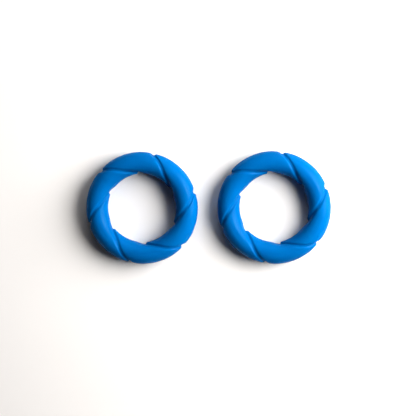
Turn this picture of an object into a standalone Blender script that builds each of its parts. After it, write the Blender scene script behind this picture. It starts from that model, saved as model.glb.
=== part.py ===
"""A pair of small twisted rings, each moulded in one piece from soft blue silicone rubber.

Each ring is a torus with six grooves cut into it. Seen from above, a groove runs slantwise from
the outer edge to the hole, bowed a little and nearly touching the hole's edge at its end, so that
the body between two grooves looks like one strand of a twisted rope. The upper and the lower half
mirror each other, and a narrow flat on each lets the ring lie still. The rings lie side by side on
the XY plane, with the pair's middle at the origin. Lengths are in metres and +Z is up.
"""

import math

import bpy

# The ring
OUTER_DIAMETER = 0.050
HOLE_DIAMETER = 0.0304
HEIGHT = 0.0097  # a little less than the tube's own thickness, which leaves the flats

# The pair
RING_SPACING = 0.0587  # centre to centre
LEFT_RING_TURN = math.radians(17.6)  # where the first groove meets the outer edge
RIGHT_RING_TURN = math.radians(21.9)

# The grooves
GROOVE_COUNT = 6
GROOVE_LINE_RADIUS = 0.0150  # the groove follows a line that passes this far from the centre
GROOVE_BOW = math.radians(5.5)  # and on top of the tube it is this far past that line
# Each groove size is given at the outer edge, on top of the tube and at the hole.
GROOVE_DEPTH = (0.00072, 0.00040, 0.00090)
FLOOR_HALF_WIDTH = (0.00070, 0.00025, 0.00005)
MOUTH_HALF_WIDTH = (0.00150, 0.00130, 0.00100)
HOLE_RUN_OUT = 0.0030  # how much further one wall runs out where the groove meets the hole
RUN_OUT_FADE = 1.5  # how fast the run-out dies away from the hole to the top
RUN_OUT_CURVE = 1.3  # the wall's curve in the run-out, where 1 is straight
LIP_ROUNDING = 0.00020  # how far the surface has dropped where a groove begins
LIP_REACH = 0.0030  # and how far from the groove's middle that drop is felt

# The mesh
COLUMNS_PER_LOBE = 12
ROWS_AROUND_TUBE = 24
COLUMN_CROWDING = 0.7  # 0 spaces the columns evenly, and 1 draws them all to the groove

TUBE_RADIUS = (OUTER_DIAMETER - HOLE_DIAMETER) / 4
RING_RADIUS = (OUTER_DIAMETER + HOLE_DIAMETER) / 4
PITCH = 2 * math.pi / GROOVE_COUNT

COLLECTION_NAME = "twisted_ring_pair"
RUBBER_BLUE = (0.0, 0.14, 0.45, 1.0)


def clear_scene():
    for old_object in list(bpy.data.objects):
        bpy.data.objects.remove(old_object)


def silicone(name):
    """Matt, slightly waxy silicone rubber."""
    material = bpy.data.materials.new(name)
    material.use_nodes = True
    shader = material.node_tree.nodes["Principled BSDF"]
    shader.inputs["Base Color"].default_value = RUBBER_BLUE
    shader.inputs["Roughness"].default_value = 0.5
    shader.inputs["Metallic"].default_value = 0.0
    shader.inputs["IOR"].default_value = 1.41
    return material


def around_tube(values, angle):
    """A size that is values[0] at the outer edge, values[1] on top and values[2] at the hole."""
    outer, top, hole = values
    toward_edge = math.cos(angle)
    return top + (outer - hole) / 2 * toward_edge + ((outer + hole) / 2 - top) * toward_edge**2


def groove_turn(angle):
    """How far round the ring the groove has travelled at this angle around the tube."""
    distance = RING_RADIUS + TUBE_RADIUS * math.cos(angle)
    line = math.acos(GROOVE_LINE_RADIUS / distance) - math.acos(2 * GROOVE_LINE_RADIUS / OUTER_DIAMETER)
    return line - GROOVE_BOW * math.sin(angle) ** 2


def across_groove(angle):
    """The width on the surface, square to the groove's line, of one radian round the ring."""
    distance = RING_RADIUS + TUBE_RADIUS * math.cos(angle)
    chord = math.sqrt(distance**2 - GROOVE_LINE_RADIUS**2)
    slant = math.atan(GROOVE_LINE_RADIUS * abs(math.sin(angle)) / chord)
    return distance * math.cos(slant)


def smooth_step(share):
    return share * share * (3 - 2 * share)


def groove_depth(offset, angle):
    """How far the surface lies below the plain torus, offset metres from the groove's middle."""
    away = abs(offset)
    floor = around_tube(FLOOR_HALF_WIDTH, angle)
    mouth = around_tube(MOUTH_HALF_WIDTH, angle)
    run_out = max(0.0, -math.cos(angle)) ** RUN_OUT_FADE if offset < 0 else 0.0
    mouth += HOLE_RUN_OUT * run_out
    wall = min(1.0, max(0.0, (mouth - away) / (mouth - floor)))
    shape = (1 - run_out) * smooth_step(wall) + run_out * wall**RUN_OUT_CURVE
    lip = LIP_ROUNDING * math.exp(-((away / LIP_REACH) ** 2))
    return around_tube(GROOVE_DEPTH, angle) * shape + lip


def grooved_point(column, row, first_groove):
    """Where the torus's vertex in this column and row goes."""
    lobe, place = divmod(column, COLUMNS_PER_LOBE)
    share = 2 * place / COLUMNS_PER_LOBE - 1  # -1 to 1, with 0 on the groove
    from_groove = share * (1 - COLUMN_CROWDING + COLUMN_CROWDING * share**2) * PITCH / 2
    angle = (row + 0.5) * 2 * math.pi / ROWS_AROUND_TUBE
    depth = groove_depth(from_groove * across_groove(angle), angle)
    distance = RING_RADIUS + (TUBE_RADIUS - depth) * math.cos(angle)
    turn = first_groove + lobe * PITCH + from_groove + groove_turn(angle)
    height = (TUBE_RADIUS - depth) * math.sin(angle)
    height = min(HEIGHT / 2, max(-HEIGHT / 2, height))
    return distance * math.cos(turn), distance * math.sin(turn), height


def twisted_ring(name, centre_x, first_groove, material, collection):
    """A torus primitive with each vertex moved into its place on the grooved surface."""
    bpy.ops.mesh.primitive_torus_add(
        major_segments=GROOVE_COUNT * COLUMNS_PER_LOBE,
        minor_segments=ROWS_AROUND_TUBE,
        major_radius=RING_RADIUS,
        minor_radius=TUBE_RADIUS,
        location=(centre_x, 0, HEIGHT / 2),
    )
    ring = bpy.context.object
    ring.name = name
    ring.data.name = name
    for vertex in ring.data.vertices:
        column, row = divmod(vertex.index, ROWS_AROUND_TUBE)
        vertex.co = grooved_point(column, row, first_groove)
    ring.data.materials.append(material)
    ring.data.shade_smooth()
    for holder in list(ring.users_collection):
        holder.objects.unlink(ring)
    collection.objects.link(ring)
    return ring


def main():
    clear_scene()
    collection = bpy.data.collections.new(COLLECTION_NAME)
    bpy.context.scene.collection.children.link(collection)
    rubber = silicone("blue_silicone")
    twisted_ring("left_ring", -RING_SPACING / 2, LEFT_RING_TURN, rubber, collection)
    twisted_ring("right_ring", RING_SPACING / 2, RIGHT_RING_TURN, rubber, collection)


main()
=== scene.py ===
"""Looks of the twisted ring pair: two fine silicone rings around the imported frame, a floor and light."""

import math

import bpy
import numpy as np
from mathutils import Matrix, Vector


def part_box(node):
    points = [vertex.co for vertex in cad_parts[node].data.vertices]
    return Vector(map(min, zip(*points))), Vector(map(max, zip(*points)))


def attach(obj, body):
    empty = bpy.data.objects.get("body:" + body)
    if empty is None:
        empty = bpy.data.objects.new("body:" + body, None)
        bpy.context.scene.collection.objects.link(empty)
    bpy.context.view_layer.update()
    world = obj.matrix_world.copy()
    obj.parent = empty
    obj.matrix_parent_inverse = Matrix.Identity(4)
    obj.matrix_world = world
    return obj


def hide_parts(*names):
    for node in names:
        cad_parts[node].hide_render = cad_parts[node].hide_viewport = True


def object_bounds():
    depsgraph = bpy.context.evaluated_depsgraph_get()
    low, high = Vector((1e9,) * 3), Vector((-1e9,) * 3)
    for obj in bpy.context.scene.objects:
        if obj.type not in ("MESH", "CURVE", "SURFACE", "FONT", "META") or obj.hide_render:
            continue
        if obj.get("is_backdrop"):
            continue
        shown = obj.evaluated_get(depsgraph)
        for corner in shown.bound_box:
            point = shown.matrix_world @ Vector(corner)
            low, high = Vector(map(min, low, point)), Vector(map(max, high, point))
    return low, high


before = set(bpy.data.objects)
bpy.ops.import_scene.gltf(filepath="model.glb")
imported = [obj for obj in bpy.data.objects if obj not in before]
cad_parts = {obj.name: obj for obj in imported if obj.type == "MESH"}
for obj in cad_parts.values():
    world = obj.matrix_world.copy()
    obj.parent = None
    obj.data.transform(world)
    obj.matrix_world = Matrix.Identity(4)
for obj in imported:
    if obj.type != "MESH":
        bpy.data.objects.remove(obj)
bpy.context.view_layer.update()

MM = 0.001  # Blender works in metres

# The ring, with the CAD's own sizes
OUTER_DIAMETER = 50 * MM
HOLE_DIAMETER = 30.4 * MM
GROOVE_COUNT = 6
GROOVE_LINE_RADIUS = 15.0 * MM  # the groove follows a line that passes this far from the centre
GROOVE_BOW = math.radians(5.5)  # and on top of the tube it is this far past that line
FIRST_GROOVE = {"left_ring": math.radians(17.6), "right_ring": math.radians(21.9)}
# Each groove size is given at the outer edge, on top of the tube and at the hole.
GROOVE_DEPTH = (0.72 * MM, 0.40 * MM, 0.90 * MM)
FLOOR_HALF_WIDTH = (0.70 * MM, 0.25 * MM, 0.05 * MM)
MOUTH_HALF_WIDTH = (1.50 * MM, 1.30 * MM, 1.00 * MM)
HOLE_RUN_OUT = 3.0 * MM  # how much further one wall runs out where the groove meets the hole
RUN_OUT_FADE = 1.5  # how fast the run-out dies away from the hole to the top
RUN_OUT_CURVE = 1.3  # the wall's curve in the run-out, where 1 is straight
LIP_ROUNDING = 0.20 * MM  # how far the surface sinks at a groove's middle, besides the groove's depth
LIP_REACH = 3.0 * MM  # and how far from the middle that sinking is felt

# The low line that the mould's parting leaves round the outside and the hole
FLASH_HEIGHT = 0.05 * MM
FLASH_HALF_WIDTH = 0.12 * MM

# The fine mesh
COLUMNS_PER_LOBE = 40
ROWS_AROUND_TUBE = 100
COLUMN_CROWDING = 0.7  # 0 spaces the columns evenly, and 1 draws them all to the groove
ROW_CROWDING = 0.7  # the same for the rows and the parting line

TUBE_RADIUS = (OUTER_DIAMETER - HOLE_DIAMETER) / 4
RING_RADIUS = (OUTER_DIAMETER + HOLE_DIAMETER) / 4
PITCH = 2 * math.pi / GROOVE_COUNT
# the groove depth share, which the material uses to paint shade into the grooves
GROOVE_SHADE_ATTRIBUTE = "groove"
FLASH_ATTRIBUTE = "parting_line"


def around_tube(values, angle):
    """A size that is values[0] at the outer edge, values[1] on top and values[2] at the hole."""
    outer, top, hole = values
    toward_edge = np.cos(angle)
    return top + (outer - hole) / 2 * toward_edge + ((outer + hole) / 2 - top) * toward_edge**2


def groove_turn(angle):
    """How far round the ring a groove has travelled at this angle around the tube."""
    distance = RING_RADIUS + TUBE_RADIUS * np.cos(angle)
    line = np.arccos(GROOVE_LINE_RADIUS / distance) - math.acos(2 * GROOVE_LINE_RADIUS / OUTER_DIAMETER)
    return line - GROOVE_BOW * np.sin(angle) ** 2


def across_groove(angle):
    """The width on the surface, square to the groove's line, of one radian round the ring."""
    distance = RING_RADIUS + TUBE_RADIUS * np.cos(angle)
    chord = np.sqrt(distance**2 - GROOVE_LINE_RADIUS**2)
    slant = np.arctan(GROOVE_LINE_RADIUS * abs(np.sin(angle)) / chord)
    return distance * np.cos(slant)


def smooth_step(share):
    return share * share * (3 - 2 * share)


def groove_depth(offset, angle):
    """How far the surface lies below the plain torus, offset metres from a groove's middle."""
    away = abs(offset)
    floor = around_tube(FLOOR_HALF_WIDTH, angle)
    mouth = around_tube(MOUTH_HALF_WIDTH, angle)
    run_out = np.where(offset < 0, np.maximum(0.0, -np.cos(angle)) ** RUN_OUT_FADE, 0.0)
    mouth = mouth + HOLE_RUN_OUT * run_out
    wall = np.clip((mouth - away) / (mouth - floor), 0, 1)
    shape = (1 - run_out) * smooth_step(wall) + run_out * wall**RUN_OUT_CURVE
    lip = LIP_ROUNDING * np.exp(-((away / LIP_REACH) ** 2))
    return around_tube(GROOVE_DEPTH, angle) * shape + lip


def ring_surface(first_groove, height):
    """Every vertex of the fine ring, column by column, with its groove depth and flash from 0 to 1."""
    column = np.arange(GROOVE_COUNT * COLUMNS_PER_LOBE)[:, None]
    share = 2 * (column % COLUMNS_PER_LOBE) / COLUMNS_PER_LOBE - 1
    from_groove = share * (1 - COLUMN_CROWDING + COLUMN_CROWDING * share**2) * PITCH / 2
    even = (np.arange(ROWS_AROUND_TUBE)[None, :] + 0.5) * 2 * math.pi / ROWS_AROUND_TUBE
    angle = even - ROW_CROWDING * np.sin(2 * even) / 2
    depth = groove_depth(from_groove * across_groove(angle), angle)
    from_parting = TUBE_RADIUS * np.arcsin(np.sin(angle))
    flash = np.exp(-((from_parting / FLASH_HALF_WIDTH) ** 2)) * np.ones_like(depth)
    tube = TUBE_RADIUS - depth + FLASH_HEIGHT * flash
    distance = RING_RADIUS + tube * np.cos(angle)
    turn = first_groove + (column // COLUMNS_PER_LOBE) * PITCH + from_groove + groove_turn(angle)
    up = np.clip(tube * np.sin(angle), -height / 2, height / 2)
    points = np.stack([distance * np.cos(turn), distance * np.sin(turn), up], axis=-1)
    return points, np.clip(depth / max(GROOVE_DEPTH), 0, 1), flash


def vertex_values(mesh, name, values):
    """Give the mesh a named number at each vertex, for its material to read."""
    attribute = mesh.attributes.new(name, "FLOAT", "POINT")
    attribute.data.foreach_set("value", np.ascontiguousarray(values.ravel(), np.float32))


def fine_ring(node, material):
    """A torus primitive with each vertex moved onto the grooved surface, smoothed, in a node's place."""
    low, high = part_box(node)
    bpy.ops.mesh.primitive_torus_add(
        major_segments=GROOVE_COUNT * COLUMNS_PER_LOBE,
        minor_segments=ROWS_AROUND_TUBE,
        major_radius=RING_RADIUS,
        minor_radius=TUBE_RADIUS,
        location=(low + high) / 2,
    )
    ring = bpy.context.object
    ring.name = node + "_silicone"
    points, depth, flash = ring_surface(FIRST_GROOVE[node], (high - low).z)
    ring.data.vertices.foreach_set("co", np.ascontiguousarray(points.ravel(), np.float32))
    vertex_values(ring.data, GROOVE_SHADE_ATTRIBUTE, depth)
    vertex_values(ring.data, FLASH_ATTRIBUTE, flash)
    ring.data.update()
    ring.data.shade_smooth()
    ring.data.materials.append(material)
    smoothing = ring.modifiers.new("smoothing", "SUBSURF")
    smoothing.levels = smoothing.render_levels = 1
    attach(ring, node)
    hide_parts(node)


# Materials, with the colours as linear red, green, blue and alpha

LIGHT_BLUE = (0.0, 0.131, 0.375, 1)
MIDDLE_BLUE = (0.0, 0.116, 0.340, 1)
# the grooves' blue is painted shade: a darker blue where the groove is deeper, standing in for shade
GROOVE_SHADE_BLUE = (0.0, 0.111, 0.328, 1)
FLASH_BLUE = (0.0, 0.150, 0.400, 1)
# Each noise's scale, as features in a metre, and its detail
CLOUD_NOISE = (90, 3)
SPECKLE_NOISE = (1400, 4)
GRAIN_NOISE = (4200, 5)
FLOOR_NOISE = (4, 2)
CLOUD_SPREAD = (0.35, 0.65)  # the noise values that give the middle blue and the light blue
SPECKLE_SPREAD = (0.3, 0.7)  # and those that give the smoothest and the roughest speckle
SPECKLE_ROUGHNESS = (0.18, 0.27)
GRAIN_DEPTH = 0.02 * MM
GRAIN_STRENGTH = 0.25
SILICONE_IOR = 1.41
SILICONE_GLOSS = 0.05
SILICONE_GLOSS_TINT = (0.6, 0.8, 1.0, 1)
SUBSURFACE_SHARE = 0.1
SUBSURFACE_DEPTH = 1.0 * MM
SUBSURFACE_REACH = (0.2, 0.5, 1.0)  # for red, green and blue, as shares of that depth
WARM_WHITE = (0.86, 0.83, 0.805, 1)
PALE_WHITE = (0.88, 0.85, 0.825, 1)
FLOOR_ROUGHNESS = 0.9
FLOOR_GLOSS = 0.1
HORIZON_COLOUR = (0.80, 0.79, 0.78, 1)
# How far from the rings' middle the floor's glow starts, and how far out it is full
GLOW_DISTANCES = (300 * MM, 1300 * MM)


def noise(tree, coordinates, scale, detail):
    node = tree.nodes.new("ShaderNodeTexNoise")
    node.inputs["Scale"].default_value = scale
    node.inputs["Detail"].default_value = detail
    tree.links.new(coordinates, node.inputs["Vector"])
    return node.outputs["Fac"]


def map_range(tree, value, taken, given):
    """The value carried from the range taken to the range given, stopping at its ends."""
    node = tree.nodes.new("ShaderNodeMapRange")
    node.inputs["From Min"].default_value, node.inputs["From Max"].default_value = taken
    node.inputs["To Min"].default_value, node.inputs["To Max"].default_value = given
    tree.links.new(value, node.inputs["Value"])
    return node.outputs["Result"]


def blend_colour(tree, share, first, second):
    """From the first colour at share 0 to the second at 1. Each is a tuple or a node's output."""
    node = tree.nodes.new("ShaderNodeMix")
    node.data_type = "RGBA"
    factor, first_colour, second_colour = node.inputs[0], node.inputs[6], node.inputs[7]
    tree.links.new(share, factor)
    for socket, colour in ((first_colour, first), (second_colour, second)):
        if isinstance(colour, tuple):
            socket.default_value = colour
        else:
            tree.links.new(colour, socket)
    return node.outputs[2]  # the colour result


def attribute(tree, name):
    node = tree.nodes.new("ShaderNodeAttribute")
    node.attribute_name = name
    return node.outputs["Fac"]


def silicone():
    """Satin blue rubber: faintly clouded, with painted shade that darkens the grooves, speckled in gloss
    and finely grained.
    """
    material = bpy.data.materials.new("blue_silicone")
    material.use_nodes = True
    tree = material.node_tree
    shader = tree.nodes["Principled BSDF"]
    place = tree.nodes.new("ShaderNodeTexCoord").outputs["Object"]
    cloud = map_range(tree, noise(tree, place, *CLOUD_NOISE), CLOUD_SPREAD, (0, 1))
    colour = blend_colour(tree, cloud, MIDDLE_BLUE, LIGHT_BLUE)
    # painted shade: the blue darkens towards the groove blue where the groove is deep
    colour = blend_colour(tree, attribute(tree, GROOVE_SHADE_ATTRIBUTE), colour, GROOVE_SHADE_BLUE)
    colour = blend_colour(tree, attribute(tree, FLASH_ATTRIBUTE), colour, FLASH_BLUE)
    tree.links.new(colour, shader.inputs["Base Color"])
    speckle = noise(tree, place, *SPECKLE_NOISE)
    roughness = map_range(tree, speckle, SPECKLE_SPREAD, SPECKLE_ROUGHNESS)
    tree.links.new(roughness, shader.inputs["Roughness"])
    bump = tree.nodes.new("ShaderNodeBump")
    bump.inputs["Strength"].default_value = GRAIN_STRENGTH
    bump.inputs["Distance"].default_value = GRAIN_DEPTH
    tree.links.new(noise(tree, place, *GRAIN_NOISE), bump.inputs["Height"])
    tree.links.new(bump.outputs["Normal"], shader.inputs["Normal"])
    shader.inputs["IOR"].default_value = SILICONE_IOR
    shader.inputs["Specular IOR Level"].default_value = SILICONE_GLOSS
    shader.inputs["Specular Tint"].default_value = SILICONE_GLOSS_TINT
    shader.inputs["Subsurface Weight"].default_value = SUBSURFACE_SHARE
    shader.inputs["Subsurface Radius"].default_value = SUBSURFACE_REACH
    shader.inputs["Subsurface Scale"].default_value = SUBSURFACE_DEPTH
    return material


def floor_paint():
    """Pale paint that takes on the horizon's glow far from the rings, where the lamps don't reach."""
    material = bpy.data.materials.new("pale_floor")
    material.use_nodes = True
    tree = material.node_tree
    shader = tree.nodes["Principled BSDF"]
    place = tree.nodes.new("ShaderNodeTexCoord").outputs["Object"]
    colour = blend_colour(tree, noise(tree, place, *FLOOR_NOISE), WARM_WHITE, PALE_WHITE)
    tree.links.new(colour, shader.inputs["Base Color"])
    length = tree.nodes.new("ShaderNodeVectorMath")
    length.operation = "LENGTH"
    tree.links.new(place, length.inputs[0])
    glow = map_range(tree, length.outputs["Value"], GLOW_DISTANCES, (0, 1))
    tree.links.new(glow, shader.inputs["Emission Strength"])
    shader.inputs["Emission Color"].default_value = HORIZON_COLOUR
    shader.inputs["Roughness"].default_value = FLOOR_ROUGHNESS
    shader.inputs["Specular IOR Level"].default_value = FLOOR_GLOSS
    return material


# Stage

FLOOR_SIDE = 6.0
# Each lamp's azimuth, elevation, distance, diameter and power in watts
LAMPS = {
    "key": (math.radians(16), math.radians(33), 493 * MM, 480 * MM, 6.4),
    "fill": (math.radians(78), math.radians(30), 750 * MM, 590 * MM, 1.6),
    "glint": (math.radians(18), math.radians(47), 600 * MM, 75 * MM, 1.4),
}
# Heights on a unit sphere around the rings: the sky is pale below the first and dim above the second
HORIZON_HEIGHTS = (0.12, 0.18)
SKY_COLOUR = (0.026, 0.022, 0.018, 1)
CAMERA_DISTANCE = 644 * MM
CAMERA_AZIMUTH = math.radians(46)
CAMERA_ELEVATION = math.radians(82)
VIEW_WIDTH = 184.1 * MM  # what the frame takes in at the height of the rings' middle
VIEW_SHIFT = Vector((0.15, -0.06, 0)) * MM  # from the rings' middle to the middle of the frame
VIEW_ROLL = math.radians(-0.44)


def lay_floor():
    bpy.ops.mesh.primitive_plane_add(size=FLOOR_SIDE)
    floor = bpy.context.object
    floor.name = "floor"
    floor.data.materials.append(floor_paint())
    floor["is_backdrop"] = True


def direction_to(azimuth, elevation):
    level = math.cos(elevation)
    return Vector((math.cos(azimuth) * level, math.sin(azimuth) * level, math.sin(elevation)))


def hang_lamp(name, azimuth, elevation, distance, diameter, power):
    """A round soft lamp that faces the rings."""
    direction = direction_to(azimuth, elevation)
    data = bpy.data.lights.new(name, "AREA")
    data.shape = "DISK"
    data.size = diameter
    data.energy = power
    lamp = bpy.data.objects.new(name, data)
    lamp.location = direction * distance
    lamp.rotation_euler = direction.to_track_quat("Z", "Y").to_euler()
    bpy.context.scene.collection.objects.link(lamp)
    return lamp


def sky():
    """A dim sky over a pale horizon, so that a low view has a pale background too."""
    world = bpy.data.worlds.new("sky")
    world.use_nodes = True
    tree = world.node_tree
    direction = tree.nodes.new("ShaderNodeTexCoord").outputs["Generated"]
    split = tree.nodes.new("ShaderNodeSeparateXYZ")
    tree.links.new(direction, split.inputs["Vector"])
    dimming = map_range(tree, split.outputs["Z"], HORIZON_HEIGHTS, (0, 1))
    colour = blend_colour(tree, dimming, HORIZON_COLOUR, SKY_COLOUR)
    tree.links.new(colour, tree.nodes["Background"].inputs["Color"])
    return world


def light_stage():
    lamps = {name: hang_lamp(name, *settings) for name, settings in LAMPS.items()}
    lamps["glint"].visible_diffuse = False  # it only shows as gloss
    bpy.context.scene.world = sky()
    bpy.context.scene.view_settings.view_transform = "Standard"
    bpy.context.scene.view_settings.look = "Medium High Contrast"


def place_camera():
    low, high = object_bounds()
    toward_camera = direction_to(CAMERA_AZIMUTH, CAMERA_ELEVATION)
    data = bpy.data.cameras.new("camera")
    data.lens = data.sensor_width * CAMERA_DISTANCE / VIEW_WIDTH
    camera = bpy.data.objects.new("camera", data)
    camera.location = VIEW_SHIFT + (low + high) / 2 + toward_camera * CAMERA_DISTANCE
    tilt = Vector((0, 0, 1)).rotation_difference(toward_camera)
    camera.rotation_euler = (tilt.to_matrix() @ Matrix.Rotation(VIEW_ROLL, 3, "Z")).to_euler()
    bpy.context.scene.collection.objects.link(camera)
    bpy.context.scene.camera = camera


rubber = silicone()
for ring_node in sorted(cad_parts):
    fine_ring(ring_node, rubber)
lay_floor()
light_stage()
place_camera()
